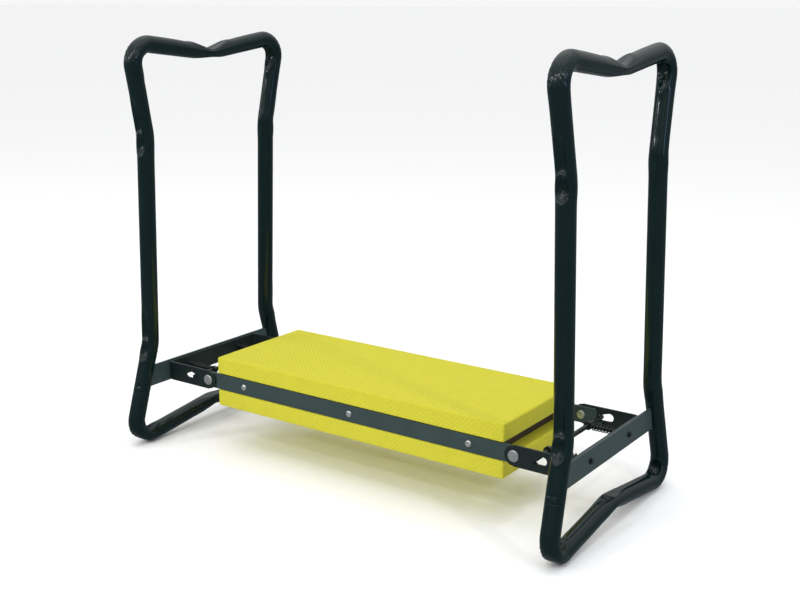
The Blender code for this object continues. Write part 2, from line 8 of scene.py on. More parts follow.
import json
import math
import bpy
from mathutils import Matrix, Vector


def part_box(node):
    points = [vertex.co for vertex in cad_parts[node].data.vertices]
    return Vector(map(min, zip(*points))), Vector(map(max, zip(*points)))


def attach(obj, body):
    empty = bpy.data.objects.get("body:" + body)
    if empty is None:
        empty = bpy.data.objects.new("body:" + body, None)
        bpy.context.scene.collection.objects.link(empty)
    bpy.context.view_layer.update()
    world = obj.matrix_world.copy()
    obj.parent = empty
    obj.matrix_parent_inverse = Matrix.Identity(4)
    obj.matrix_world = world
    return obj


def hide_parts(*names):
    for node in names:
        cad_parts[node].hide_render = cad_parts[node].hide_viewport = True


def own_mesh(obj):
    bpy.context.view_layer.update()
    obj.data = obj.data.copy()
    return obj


bl_info = {
    "name": "Garden kneeler seat",
    "version": (1, 0, 0),
    "blender": (4, 5, 0),
    "location": "3D View > Sidebar > Kneeler",
    "description": "Builds the tubes, strips, springs, fasteners and foam pads of a garden kneeler",
    "category": "Object",
}

from typing import NamedTuple

import bmesh
import bpy
import numpy as np
from bpy.props import FloatProperty, FloatVectorProperty, IntProperty, PointerProperty
from mathutils import Matrix, Vector

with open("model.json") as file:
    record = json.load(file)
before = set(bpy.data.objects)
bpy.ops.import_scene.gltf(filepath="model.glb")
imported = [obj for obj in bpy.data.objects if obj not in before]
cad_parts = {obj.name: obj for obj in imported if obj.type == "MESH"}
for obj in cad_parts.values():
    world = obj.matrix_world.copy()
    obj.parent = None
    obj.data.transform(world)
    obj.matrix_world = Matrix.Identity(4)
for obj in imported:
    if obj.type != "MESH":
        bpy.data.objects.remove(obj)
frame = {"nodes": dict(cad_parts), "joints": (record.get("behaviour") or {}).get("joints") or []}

MM = 0.001
SIDES = (("left", -1), ("right", 1))
PLACES = (("front", -1), ("back", 1))
SCREW_NAMES = ("left", "middle", "right")


def box_middle(node):
    """Centre of a frame node's box."""
    low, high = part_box(node)
    return (low + high) / 2


def box_size(node):
    """Edge lengths of a frame node's box."""
    low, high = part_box(node)
    return high - low


FRAME_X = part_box("crossbar_right")[1].x
PIVOT_Z = box_middle("pivot_rivet_front_right").z
RAIL_OUTER_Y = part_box("side_rail_back")[1].y


# ------------------------------------------------------------------ settings

def length(name, description, millimetres):
    """A length property, given in millimetres and held in metres."""
    return FloatProperty(name=name, description=description, default=millimetres * MM,
                         unit="LENGTH", subtype="DISTANCE", precision=4)


def colour(name, description, value):
    """A linear RGB colour property."""
    return FloatVectorProperty(name=name, description=description, default=value,
                               size=3, min=0.0, max=1.0, subtype="COLOR")


class KneelerTubeSizes(bpy.types.PropertyGroup):
    """Centre lines of the leg frames, as heights over the pivots and distances from the middle."""

    upright_y: length("Upright spread", "Upright's distance from the middle", 105.4)
    top_corner_y: length("Top corner spread", "Handle corner's distance from the middle", 126.8)
    foot_corner_y: length("Foot corner spread", "Foot corner's distance from the middle", 140.0)
    low_bend: length("Low bend height", "Where the legs start to splay, over the pivot", 42.8)
    waist: length("Waist height", "Where the uprights turn outwards, over the pivot", 295.1)
    top_corner: length("Handle height", "Handle corners, over the pivot", 401.0)
    foot_corner: length("Foot depth", "Foot corners, under the pivot", 79.0)
    grip_dip: length("Grip dip", "How far the grip sinks in its middle", 15.5)
    foot_arch: length("Foot arch", "How far the foot bar rises in its middle", 18.5)
    low_radius: length("Low bend radius", "Bend radius at the centre line", 45.0)
    waist_radius: length("Waist radius", "Bend radius at the centre line", 60.0)
    corner_radius: length("Corner radius", "Bend radius at the centre line", 22.0)
    dip_radius: length("Dip radius", "Bend radius in the middle of the grip", 110.0)
    arch_radius: length("Arch radius", "Bend radius in the middle of the foot bar", 30.0)
    lean: FloatProperty(name="Lean", description="How far the hoops lean towards the seat's middle",
                        default=math.radians(1.86), subtype="ANGLE")
    radius: length("Tube radius", "Outer radius of the tubes", 10.0)
    wall: length("Wall", "Tube wall", 1.2)
    seam_depth: length("Seam depth", "Joint of handle and foot hoop, under the pivot", 17.0)
    spigot: length("Spigot", "How far the foot hoop reaches into the handle hoop", 24.0)
    gap: length("Seam gap", "Gap between the two hoops", 0.3)
    crimp_inset: length("Crimp inset", "From the seam to the punched marks", 7.0)
    crimp_spread: length("Crimp spread", "From the tube's middle to each punched mark", 3.2)
    crimp_radius: length("Crimp radius", "Size of a punched mark", 1.6)
    crimp_depth: length("Crimp depth", "Depth of a punched mark", 1.0)
    lip: length("Lip", "Rounding of the tube ends", 0.5)
    tube_sides: IntProperty(name="Tube sides", description="Faces round the tube", default=64, min=12)


class KneelerPadSizes(bpy.types.PropertyGroup):
    """Foam pads."""

    edge_radius: length("Edge radius", "Rounding of the pad's edges", 2.2)
    swell: length("Swell", "Height of the soft waves in the foam's skin", 0.25)
    wave: length("Wave", "Distance between the soft waves", 46.0)
    fill: FloatProperty(name="Fill", description="How full the foam is", default=1.0, min=0.0, max=1.0)


class KneelerSteelSizes(bpy.types.PropertyGroup):
    """Strips, springs and fasteners."""

    strip_edge: length("Strip edge", "Rounding of the strips' edges", 0.45)
    board_edge: length("Board edge", "Rounding of the board's edges", 0.6)
    rod_edge: length("Rod edge", "Rounding of the guide rods' edges", 0.3)
    spring_wire: length("Spring wire", "Wire diameter", 1.3)
    spring_coils: FloatProperty(name="Spring coils", description="Turns of each spring", default=10.5)
    rivet_shank: length("Rivet shank", "Diameter through arm and rail", 8.0)
    rivet_tail: length("Rivet tail", "Diameter of the inner head", 10.0)
    rivet_height: length("Rivet head height", "Height of both heads", 1.6)
    screw_shank: length("Screw shank", "Diameter of the screws over their thread", 4.4)
    screw_thread: length("Screw thread", "Height of the screws' thread", 0.5)
    screw_pitch: length("Screw pitch", "Distance between the screws' threads", 1.8)
    weld_radius: length("Weld radius", "Half width of a weld bead", 2.2)


class KneelerColours(bpy.types.PropertyGroup):
    """Linear colours of the finishes."""

    tube: colour("Tube paint", "Dark green gloss paint", (0.0020, 0.0098, 0.0102))
    strip: colour("Strip paint", "Grey-green semi-gloss paint", (0.034, 0.056, 0.056))
    # The bracket colour is the strip paint darkened, which is painted shade, not a paint of its own.
    bracket: colour("Bracket paint", "Darker paint of the hinge brackets", (0.010, 0.018, 0.018))
    zinc: colour("Zinc", "Zinc plating on rivets and screws", (0.60, 0.63, 0.61))
    steel: colour("Spring steel", "Oiled steel of springs and rods", (0.012, 0.017, 0.017))
    board: colour("Board", "Stained board", (0.050, 0.034, 0.024))
    foam: colour("Foam", "Yellow foam", (0.64, 0.60, 0.043))
    floor: colour("Floor", "Pale studio floor", (0.97, 0.97, 0.97))


def sizes(group):
    """One of the scene's settings groups."""
    return getattr(bpy.context.scene, f"kneeler_{group}")


# ------------------------------------------------------------------ meshes

MERGE_DISTANCE = 0.002 * MM
FLAT_ANGLE = math.radians(0.5)
EDGE_ANGLE = math.radians(32)


def oriented(points, faces):
    """Faces turned so that the closed surface's signed volume, a sixth of the sum of its fan
    triangles' triple products, is positive."""
    first = points[faces[:, 0]]
    volume = 0.0
    for k in range(1, faces.shape[1] - 1):
        volume += np.einsum("ij,ij->", first, np.cross(points[faces[:, k]], points[faces[:, k + 1]]))
    return faces if volume > 0 else faces[:, ::-1]


def add_piece(name, points, quads, triangles=None):
    """A smooth-shaded object from arrays of points, quads and, at poles, triangles."""
    flat = points.reshape(-1, 3)
    mesh = bpy.data.meshes.new(name)
    faces = quads.tolist() + ([] if triangles is None else triangles.tolist())
    mesh.from_pydata(flat, [], faces)
    mesh.shade_smooth()
    mesh.validate()
    obj = bpy.data.objects.new(name, mesh)
    bpy.context.scene.collection.objects.link(obj)
    return obj


def grid_quads(rows, columns, wrap_rows):
    """Quads of a grid of points whose columns always wrap, and whose rows wrap if asked."""
    last = rows if wrap_rows else rows - 1
    i, j = np.meshgrid(np.arange(last), np.arange(columns), indexing="ij")
    i, j = i.ravel(), j.ravel()
    below, beside = (i + 1) % rows, (j + 1) % columns
    return np.stack([i * columns + j, i * columns + beside, below * columns + beside,
                     below * columns + j], axis=1)


def add_ring_piece(name, rings):
    """A piece from an array of rings, shaped (rings, points round, 3), closed into a torus."""
    rows, columns = rings.shape[:2]
    points = rings.reshape(-1, 3)
    return add_piece(name, points, oriented(points, grid_quads(rows, columns, True)))


def add_capped_piece(name, rings):
    """A piece from an array of rings, with a fan to the middle of its first and last ring."""
    rows, columns = rings.shape[:2]
    quads = grid_quads(rows, columns, False)
    start, end = rings[0].mean(axis=0), rings[-1].mean(axis=0)
    points = np.vstack([rings.reshape(-1, 3), start, end])
    j = np.arange(columns)
    beside = (j + 1) % columns
    count = rows * columns
    first = np.stack([np.full(columns, count), beside, j], axis=1)
    base = (rows - 1) * columns
    last = np.stack([np.full(columns, count + 1), base + j, base + beside], axis=1)
    triangles = np.vstack([first, last])
    split = np.vstack([quads[:, [0, 1, 2]], quads[:, [0, 2, 3]], triangles])
    if oriented(points, split) is not split:
        quads, triangles = quads[:, ::-1], triangles[:, ::-1]
    return add_piece(name, points, quads, triangles)


def stood_on(local, origin, axis):
    """Points turned so that their +Z lies along an axis, and moved to an origin."""
    turn = np.array(Vector((0, 0, 1)).rotation_difference(Vector(axis)).to_matrix())
    return local @ turn.T + np.asarray(origin)


def turned(profile, sides, origin, axis):
    """Rings of a turned piece: each (radius, height) of the profile is a circle about the axis."""
    profile = np.asarray(profile, float)
    angle = np.linspace(0, 2 * math.pi, sides, endpoint=False)
    radius, height = profile[:, :1], profile[:, 1:]
    local = np.stack([radius * np.cos(angle), radius * np.sin(angle), height + 0 * angle], axis=-1)
    return stood_on(local, origin, axis)


def merged_copy(node, name, edge):
    """A frame node's solid as a new piece: doubles merged, flat triangles joined, edges rounded."""
    mesh = frame["nodes"][node].data.copy()
    mesh.materials.clear()
    mesh.name = name
    bm = bmesh.new()
    bm.from_mesh(mesh)
    bmesh.ops.remove_doubles(bm, verts=bm.verts, dist=MERGE_DISTANCE)
    bmesh.ops.dissolve_limit(bm, angle_limit=FLAT_ANGLE, verts=bm.verts, edges=bm.edges)
    bm.to_mesh(mesh)
    bm.free()
    for attribute in [a.name for a in mesh.attributes if a.name in ("custom_normal", "sharp_edge")]:
        mesh.attributes.remove(mesh.attributes[attribute])
    mesh.shade_smooth()
    obj = bpy.data.objects.new(name, mesh)
    bpy.context.scene.collection.objects.link(obj)
    bevel = obj.modifiers.new("edges", "BEVEL")
    bevel.width = edge
    bevel.segments = 2
    bevel.limit_method = "ANGLE"
    bevel.angle_limit = EDGE_ANGLE
    bevel.harden_normals = True
    return obj


def dress(piece, material, slot, body, *nodes):
    """Give a piece its finish and its body, and hide the frame nodes that it stands for."""
    piece.data.materials.clear()
    piece.data.materials.append(material)
    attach(piece, body)
    if nodes:
        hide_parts(*nodes)
    return piece


# ------------------------------------------------------------------ finishes

COLOUR_MIX_INPUTS = (0, 6, 7)   # share, first and second colour of a Mix node set to colours
COLOUR_MIX_OUTPUT = 2
DUST = (0.020, 0.032, 0.032)


class Finish:
    """A Principled material under construction, with short calls for its pattern nodes."""

    def __init__(self, name, base, roughness, metallic=0.0, specular=0.5):
        self.material = bpy.data.materials.new(name)
        self.material.use_nodes = True
        self.tree = self.material.node_tree
        self.shader = self.tree.nodes["Principled BSDF"]
        self.shader.inputs["Base Color"].default_value = (*base, 1.0)
        self.shader.inputs["Roughness"].default_value = roughness
        self.shader.inputs["Metallic"].default_value = metallic
        self.shader.inputs["Specular IOR Level"].default_value = specular
        self.material.diffuse_color = (*base, 1.0)
        self.place = self.tree.nodes.new("ShaderNodeTexCoord").outputs["Object"]

    def feed(self, socket, value):
        """Link a socket to another one, or set it to a number, vector or colour."""
        if isinstance(value, bpy.types.NodeSocket):
            self.tree.links.new(value, socket)
        else:
            socket.default_value = (*value, 1.0) if socket.type == "RGBA" else value

    def node(self, kind, **inputs):
        """A node with its named inputs linked or set; underscores stand for spaces."""
        made = self.tree.nodes.new(kind)
        for key, value in inputs.items():
            self.feed(made.inputs[key.replace("_", " ")], value)
        return made

    def stretched(self, scale):
        """Object coordinates multiplied by a scale on each axis."""
        mapping = self.node("ShaderNodeMapping", Vector=self.place, Scale=scale)
        return mapping.outputs["Vector"]

    def noise(self, scale, detail=3.0, rough=0.5, place=None):
        """Soft random values from 0 to 1."""
        made = self.node("ShaderNodeTexNoise", Vector=place or self.place, Scale=scale,
                         Detail=detail, Roughness=rough)
        return made.outputs["Fac"]

    def cells(self, scale, place=None):
        """Distance to the nearest of many scattered points."""
        made = self.node("ShaderNodeTexVoronoi", Vector=place or self.place, Scale=scale)
        return made.outputs["Distance"]

    def slanted_lines(self, scale):
        """Soft bands that run diagonally across the piece."""
        made = self.node("ShaderNodeTexWave", Vector=self.stretched(scale), Scale=110.0,
                         Distortion=1.2, Detail=2.0)
        made.bands_direction = "DIAGONAL"
        return made.outputs["Fac"]

    def spread(self, value, low, high, to_low, to_high):
        """Values from low to high, moved onto to_low to to_high and held there."""
        made = self.node("ShaderNodeMapRange", Value=value, From_Min=low, From_Max=high,
                         To_Min=to_low, To_Max=to_high)
        return made.outputs["Result"]

    def blend(self, share, first, second):
        """A colour between two colours or colour sockets."""
        made = self.tree.nodes.new("ShaderNodeMix")
        made.data_type = "RGBA"
        for index, value in zip(COLOUR_MIX_INPUTS, (share, first, second)):
            self.feed(made.inputs[index], value)
        return made.outputs[COLOUR_MIX_OUTPUT]

    def combine(self, operation, first, second):
        """One arithmetic step on two values."""
        made = self.tree.nodes.new("ShaderNodeMath")
        made.operation = operation
        for socket, value in zip(made.inputs, (first, second)):
            self.feed(socket, value)
        return made.outputs["Value"]

    def bumps(self, *layers):
        """Stack (height socket, depth in metres) layers into the shader's normal."""
        normal = None
        for height, depth in layers:
            bump = self.node("ShaderNodeBump", Height=height, Distance=depth, Strength=1.0)
            if normal is not None:
                self.tree.links.new(normal, bump.inputs["Normal"])
            normal = bump.outputs["Normal"]
        self.tree.links.new(normal, self.shader.inputs["Normal"])

    def connect(self, name, socket):
        """Link a socket to one of the shader's inputs."""
        self.tree.links.new(socket, self.shader.inputs[name])


def shade(base, factor):
    """A colour made lighter or darker by a factor."""
    return tuple(min(1.0, c * factor) for c in base)


def tube_paint():
    """Dark green gloss paint: soft orange peel, a slight drift in colour and thin handling dust."""
    base = tuple(sizes("colours").tube)
    finish = Finish("tube_paint", base, 0.12, specular=0.30)
    drift = finish.noise(28.0, detail=4.0)
    dust = finish.spread(finish.noise(190.0, detail=6.0, rough=0.7), 0.58, 0.80, 0.0, 0.35)
    tone = finish.blend(drift, shade(base, 0.8), shade(base, 1.25))
    finish.connect("Base Color", finish.blend(dust, tone, DUST))
    finish.connect("Roughness", finish.spread(finish.noise(55.0, detail=5.0), 0.3, 0.75, 0.09, 0.20))
    finish.bumps((finish.noise(420.0, detail=2.0), 0.010 * MM), (finish.noise(60.0), 0.05 * MM))
    return finish.material


def strip_paint():
    """Grey-green semi-gloss paint of rails and crossbars."""
    return steel_paint("strip_paint", tuple(sizes("colours").strip))


def shaded_bracket_paint():
    """The rails' grey-green semi-gloss strip paint made darker for the hinge brackets: painted shade."""
    return steel_paint("shaded_bracket_paint", tuple(sizes("colours").bracket))


def steel_paint(name, base):
    """Semi-gloss paint on strip steel: fine grain, faint rolling marks and worn speckle."""
    finish = Finish(name, base, 0.36, specular=0.3)
    grain = finish.noise(900.0, detail=3.0)
    patches = finish.noise(35.0, detail=5.0)
    tone = finish.blend(patches, shade(base, 0.86), shade(base, 1.16))
    worn = finish.spread(finish.noise(240.0, detail=7.0, rough=0.75), 0.63, 0.74, 0.0, 0.5)
    finish.connect("Base Color", finish.blend(worn, tone, shade(base, 1.9)))
    finish.connect("Roughness", finish.spread(patches, 0.25, 0.75, 0.28, 0.44))
    lines = finish.noise(60.0, detail=4.0, place=finish.stretched((1.0, 1.0, 14.0)))
    finish.bumps((grain, 0.018 * MM), (lines, 0.02 * MM))
    return finish.material


def zinc_plating():
    """Pale zinc plating: brushed, a little cloudy, darker in its pits."""
    base = tuple(sizes("colours").zinc)
    finish = Finish("zinc_plating", base, 0.34, metallic=0.85)
    cloud = finish.noise(320.0, detail=5.0)
    pits = finish.spread(finish.cells(1400.0), 0.0, 0.25, 0.0, 1.0)
    tone = finish.blend(cloud, shade(base, 0.78), shade(base, 1.12))
    finish.connect("Base Color", finish.blend(pits, shade(base, 0.5), tone))
    finish.connect("Roughness", finish.spread(cloud, 0.3, 0.7, 0.26, 0.46))
    finish.bumps((pits, 0.012 * MM), (cloud, 0.02 * MM))
    return finish.material


def drawn_steel():
    """Oiled dark steel: drawn wire sheen with darker oily patches."""
    base = tuple(sizes("colours").steel)
    finish = Finish("drawn_steel", base, 0.26, metallic=0.35, specular=0.45)
    oil = finish.noise(260.0, detail=5.0)
    finish.connect("Base Color", finish.blend(oil, shade(base, 0.45), shade(base, 1.5)))
    finish.connect("Roughness", finish.spread(oil, 0.3, 0.7, 0.18, 0.42))
    finish.bumps((finish.noise(1500.0, detail=2.0), 0.008 * MM),)
    return finish.material


def board_stain():
    """Dark brown stained board: long grain along the seat, with pores on its ends."""
    base = tuple(sizes("colours").board)
    finish = Finish("board_stain", base, 0.72, specular=0.3)
    grain = finish.noise(90.0, detail=8.0, rough=0.65, place=finish.stretched((0.12, 1.0, 2.4)))
    pores = finish.spread(finish.noise(900.0, detail=3.0), 0.35, 0.5, 0.0, 1.0)
    tone = finish.blend(grain, shade(base, 0.5), shade(base, 1.8))
    finish.connect("Base Color", finish.blend(pores, shade(base, 0.45), tone))
    finish.bumps((grain, 0.12 * MM), (pores, 0.06 * MM))
    return finish.material


def foam_skin():
    """Yellow closed-cell foam: an embossed skin of crossing slanted lines, fine cells and soft mottling.
    Its colour is darker in the grooves of the lines and in the pores, which is painted shade in the
    recesses."""
    base = tuple(sizes("colours").foam)
    finish = Finish("foam_skin", base, 0.82, specular=0.15)
    mottle = finish.noise(60.0, detail=7.0, rough=0.65)
    fine = finish.noise(1100.0, detail=4.0, rough=0.7)
    cells = finish.spread(finish.cells(900.0), 0.0, 0.6, 0.0, 1.0)
    lines = [finish.slanted_lines(scale) for scale in ((1.0, 1.0, 1.0), (-1.0, 1.0, 1.0))]
    emboss = finish.combine("MULTIPLY", *lines)
    tone = finish.blend(mottle, shade(base, 0.90), shade(base, 1.10))
    # Painted shade: the colour darkens where the embossed lines and the pores sink.
    groove_shaded = finish.blend(finish.spread(emboss, 0.0, 0.7, 0.42, 0.0), tone, shade(base, 0.74))
    pore_shaded = finish.blend(finish.spread(fine, 0.3, 0.6, 0.40, 0.0), groove_shaded, shade(base, 0.68))
    finish.connect("Base Color", pore_shaded)
    finish.connect("Roughness", finish.spread(mottle, 0.3, 0.7, 0.74, 0.9))
    finish.shader.inputs["Sheen Weight"].default_value = 0.03
    finish.shader.inputs["Sheen Roughness"].default_value = 0.5
    finish.bumps((emboss, 0.20 * MM), (cells, 0.08 * MM), (fine, 0.07 * MM))
    return finish.material


# The bracket finish is the strip paint darkened as painted shade.
FINISHES = {"gloss_tube": tube_paint, "painted_strip": strip_paint, "bracket": shaded_bracket_paint,
            "zinc_plate": zinc_plating, "spring_steel": drawn_steel,
            "board": board_stain, "foam": foam_skin}
MADE_FINISHES = {}


def finish_of(name):
    """The material of a finish, made on its first use."""
    if name not in MADE_FINISHES:
        MADE_FINISHES[name] = FINISHES[name]()
    return MADE_FINISHES[name]


# ------------------------------------------------------------------ bent tubes

class Press(NamedTuple):
    """One mark that a bending tool leaves: lengths along the tube, and depths, in metres."""

    depth: float    # of the dent on the concave side
    shift: float    # how far along the tube the mark's middle lies from the bend's
    before: float   # half length of the dent towards the tube's start
    after: float    # half length of the dent towards its end
    width: float    # half width of the dent
    power: float    # 1 for a sharp valley, 3 or more for a flat-bottomed dent
    sink: float     # how far the whole concave side sinks with the dent
    crown: float    # how much the convex side is flattened
    spread: float   # share by which the tube widens sideways
    wrinkle: float  # height of the wrinkles in the dent
    ridge: float    # height of the cross-wise ridges on the convex side

    def mirrored(self):
        """The same mark on the way back down the other leg."""
        return self._replace(before=self.after, after=self.before, shift=-self.shift)


def press(depth, shift, before, after, width, power=2.6, sink=0.5, crown=0.0, spread=0.0,
          wrinkle=0.0, ridge=0.0):
    """A mark whose lengths are given in millimetres."""
    return Press(depth * MM, shift * MM, before * MM, after * MM, width * MM, power, sink * MM,
                 crown * MM, spread, wrinkle * MM, ridge * MM)


def mirrored(marks):
    """A bend's marks on the other leg."""
    return [mark.mirrored() for mark in marks]


# The rim and the folds are placed and sized in half lengths of the dent that they stand round
RIM_SHARE = 0.26
RIM_PLACE, RIM_WIDTH = 1.35, 0.28
FOLDS_PLACE, FOLDS_WIDTH = 0.6, 0.6
WRINKLE_LENGTH = 0.75 * MM
CONCAVE_EASE, CONVEX_EASE = 0.45, 0.6   # shares of the radius over which each side's marks fade in
CEILING_SOFTNESS = 0.5 * MM
CEILING_ROOM = 2.5 * MM

ARC_POINTS = 49
DENSITY_SAMPLES = 4000
BUSY_REACH = 26 * MM
BUSY_FADE = 14 * MM
SKIN_SPACING = (1.0 * MM, 3.5 * MM)
BORE_SPACING = (1.4 * MM, 9.0 * MM)
LIP_SHARE = 0.3

POCKET = press(5.6, -12, 10, 11, 5.4, power=2.6, crown=0.6, spread=0.07, wrinkle=0.9)
TROUGH = press(5.2, 15, 13, 24, 4.8, power=2.2, sink=0.2)
LOW_MARKS = [POCKET, TROUGH]
WAIST_MARKS = [POCKET, TROUGH]
CORNER_MARKS = [press(7.4, -12, 18, 15, 5.8, power=2.4, sink=0.8, spread=0.08, wrinkle=0.6),
                press(0.0, -7, 10, 10, 6.0, crown=0.4, ridge=0.7)]
FOOT_MARKS = [press(6.8, 5, 15, 18, 5.6, power=2.4, sink=0.8, crown=2.8, spread=0.10,
                    wrinkle=0.55),
              press(0.0, -3, 11, 9, 6.0, ridge=0.75)]
DIP_MARKS = [press(5.4, 0, 24, 24, 7.0, power=1.25, sink=3.2, crown=2.8, spread=0.10, wrinkle=0.08)]
ARCH_MARKS = [press(3.6, 0, 26, 26, 6.4, power=1.4, sink=2.6, crown=2.6, spread=0.12)]


class Route(NamedTuple):
    """A flat centre line: lengths along it, its points and headings, and where it bends."""

    along: np.ndarray
    points: np.ndarray
    headings: np.ndarray
    bends: np.ndarray
    turns: np.ndarray


def centre_line(corners, radii):
    """A line through flat corners. On each bend it leaves its leg by r sin t and swings r (1 - cos t)
    towards the side that it turns to, for t from 0 to the bend's whole turn."""
    corners = np.asarray(corners, float)
    legs = np.diff(corners, axis=0)
    headings = np.unwrap(np.arctan2(legs[:, 1], legs[:, 0]))
    turns = np.diff(headings)
    reaches = np.asarray(radii) * np.tan(np.abs(turns) / 2)
    points, along, angles, places = [corners[:1]], [np.zeros(1)], [headings[:1]], []
    steps = np.linspace(0, 1, ARC_POINTS)
    for corner, radius, heading, turn, reach in zip(corners[1:-1], radii, headings, turns, reaches):
        ahead = np.array([math.cos(heading), math.sin(heading)])
        side = np.array([-ahead[1], ahead[0]]) * math.copysign(1, turn)
        swing = steps[:, None] * abs(turn)
        arc = corner - ahead * reach + radius * (np.sin(swing) * ahead + (1 - np.cos(swing)) * side)
        start = along[-1][-1] + np.linalg.norm(arc[0] - points[-1][-1])
        points.append(arc)
        along.append(start + radius * abs(turn) * steps)
        angles.append(heading + turn * steps)
        places.append(start + radius * abs(turn) / 2)
    points.append(corners[-1:])
    along.append(along[-1][-1:] + np.linalg.norm(corners[-1] - points[-2][-1]))
    angles.append(headings[-1:])
    return Route(np.concatenate(along), np.concatenate(points), np.concatenate(angles),
                 np.array(places), turns)


def ring_places(route, start, end, fine, coarse):
    """Places for rings from start to end: fine near bends and both ends, coarse between them. Their
    density is 1 over the wanted spacing, and its running sum is cut into whole steps."""
    even = np.linspace(start, end, DENSITY_SAMPLES)
    busy = np.concatenate([[route.along[0]], route.bends, [route.along[-1]]])
    nearest = np.abs(even[:, None] - busy[None, :]).min(axis=1)
    share = np.clip((nearest - BUSY_REACH) / BUSY_FADE, 0, 1)
    density = 1 / (fine + (coarse - fine) * share)
    count = np.concatenate([[0], np.cumsum((density[1:] + density[:-1]) / 2 * np.diff(even))])
    wanted = np.linspace(0, count[-1], int(math.ceil(count[-1])) + 1)
    return np.interp(wanted, count, even)


def smooth_step(value):
    """Cubic ease from 0 to 1, 3 v^2 - 2 v^3, held at both ends."""
    held = np.clip(value, 0, 1)
    return held * held * (3 - 2 * held)


def crumple(along, across):
    """Uneven folds from -1 to 1: the mean of two cosine waves that run at different slants."""
    first = np.cos((along + 0.9 * across) / WRINKLE_LENGTH)
    second = np.cos((0.6 * along - 1.4 * across) / WRINKLE_LENGTH + 1.0)
    return (first + second) / 2


def press_section(radius, along, inward, sideways, place, mark):
    """Offsets of a tube's section near one mark. With u and v the distances from it over the dent's
    half length and half width: the tube widens by exp(-u^2), the concave side sinks by exp(-|u|^power)
    times (sink + depth exp(-|v|^power)), a small rim stands round the dent, and the convex side, with its
    slanted ridges, stays under a soft ceiling that comes down by crown exp(-u^2)."""
    offset = along - place - mark.shift
    u = offset / np.where(offset < 0, mark.before, mark.after)
    bell = np.exp(-(u ** 2))
    wide = sideways * (1 + mark.spread * bell)
    v = wide / mark.width
    around = np.sqrt(u ** 2 + v ** 2)
    rim = RIM_SHARE * mark.depth * np.exp(-(((around - RIM_PLACE) / RIM_WIDTH) ** 2))
    folding = np.exp(-(((around - FOLDS_PLACE) / FOLDS_WIDTH) ** 2))
    folds = mark.wrinkle * crumple(offset, wide) * folding
    sunk = np.exp(-np.abs(u) ** mark.power) * (mark.sink + mark.depth * np.exp(-np.abs(v) ** mark.power))
    ridges = mark.ridge * bell * crumple(offset, wide)
    moved = (inward - smooth_step(inward / (CONCAVE_EASE * radius)) * (sunk - rim - folds)
             - smooth_step(-inward / (CONVEX_EASE * radius)) * ridges)
    ceiling = radius + CEILING_ROOM * (1 - bell) - mark.crown * bell
    excess = (-moved - ceiling) / CEILING_SOFTNESS
    return moved + CEILING_SOFTNESS * np.logaddexp(0, excess), wide


def crimp_depth(tubes, from_end, inward, sideways):
    """Depth of the punched marks at a seam: exp(-d^2) over the distance d from each mark. Two marks lie
    on the side that faces the loop's middle and two on the side that faces away from it, a little to the
    left and right of the side's middle."""
    depth = 0.0
    for side in (-1, 1):
        away = np.hypot(from_end - tubes.crimp_inset, sideways - side * tubes.crimp_spread)
        depth = depth + tubes.crimp_depth * np.exp(-((away / tubes.crimp_radius) ** 2))
    return depth * (np.abs(inward) > 0.5 * tubes.radius)


def tube_rings(tubes, route, places, radii, bend_marks, foot_x, crimped=False):
    """Rings of a tube: centre + normal (r cos t) + X (r sin t), pressed at each bend, then leaned
    towards the middle by tan(lean) times the height over the pivot."""
    sides = tubes.tube_sides
    angle = np.linspace(0, 2 * math.pi, sides, endpoint=False)
    along = np.asarray(places)[:, None]
    radius = np.asarray(radii)[:, None]
    normal_part = radius * np.cos(angle)
    side_part = radius * np.sin(angle)
    for place, turn, marks in zip(route.bends, route.turns, bend_marks):
        sign = math.copysign(1, turn)
        for mark in marks:
            inward, side_part = press_section(tubes.radius, along, sign * normal_part, side_part,
                                              place, mark)
            normal_part = sign * inward
    if crimped:
        from_end = np.minimum(along, route.along[-1] - along)
        punched = crimp_depth(tubes, from_end, normal_part, side_part)
        skin = radius > tubes.radius - tubes.lip
        normal_part = normal_part - np.sign(normal_part) * punched * skin
    heading = np.interp(places, route.along, route.headings)[:, None]
    centre_y = np.interp(places, route.along, route.points[:, 0])[:, None]
    centre_h = np.interp(places, route.along, route.points[:, 1])[:, None]
    height = centre_h + np.cos(heading) * normal_part
    lean = math.copysign(math.tan(tubes.lean), foot_x)
    return np.stack([foot_x + side_part - lean * height, centre_y - np.sin(heading) * normal_part,
                     PIVOT_Z + height], axis=-1)


def leg_slant(tubes):
    """Angle of the splayed lower legs from upright."""
    return math.atan2(tubes.foot_corner_y - tubes.upright_y, tubes.low_bend + tubes.foot_corner)


def leg_y(tubes, height):
    """A splayed lower leg's distance from the middle at a height over the pivot."""
    return tubes.upright_y + math.tan(leg_slant(tubes)) * (tubes.low_bend - height)


def mirrored_route(half, middle, radii, middle_radius):
    """Centre line through a front leg's points, a middle point and the back leg's mirrored points."""
    front = [(-y, z) for y, z in half]
    back = [(y, z) for y, z in half[::-1]]
    return centre_line(front + [middle] + back, radii + [middle_radius] + radii[::-1])


def lip_pairs(tubes, shoulder):
    """(place, radius) pairs of the rounded lip that rises from a shoulder to the full radius."""
    near = LIP_SHARE * tubes.lip
    return [(shoulder, tubes.radius - tubes.lip), (shoulder + near, tubes.radius - near)]


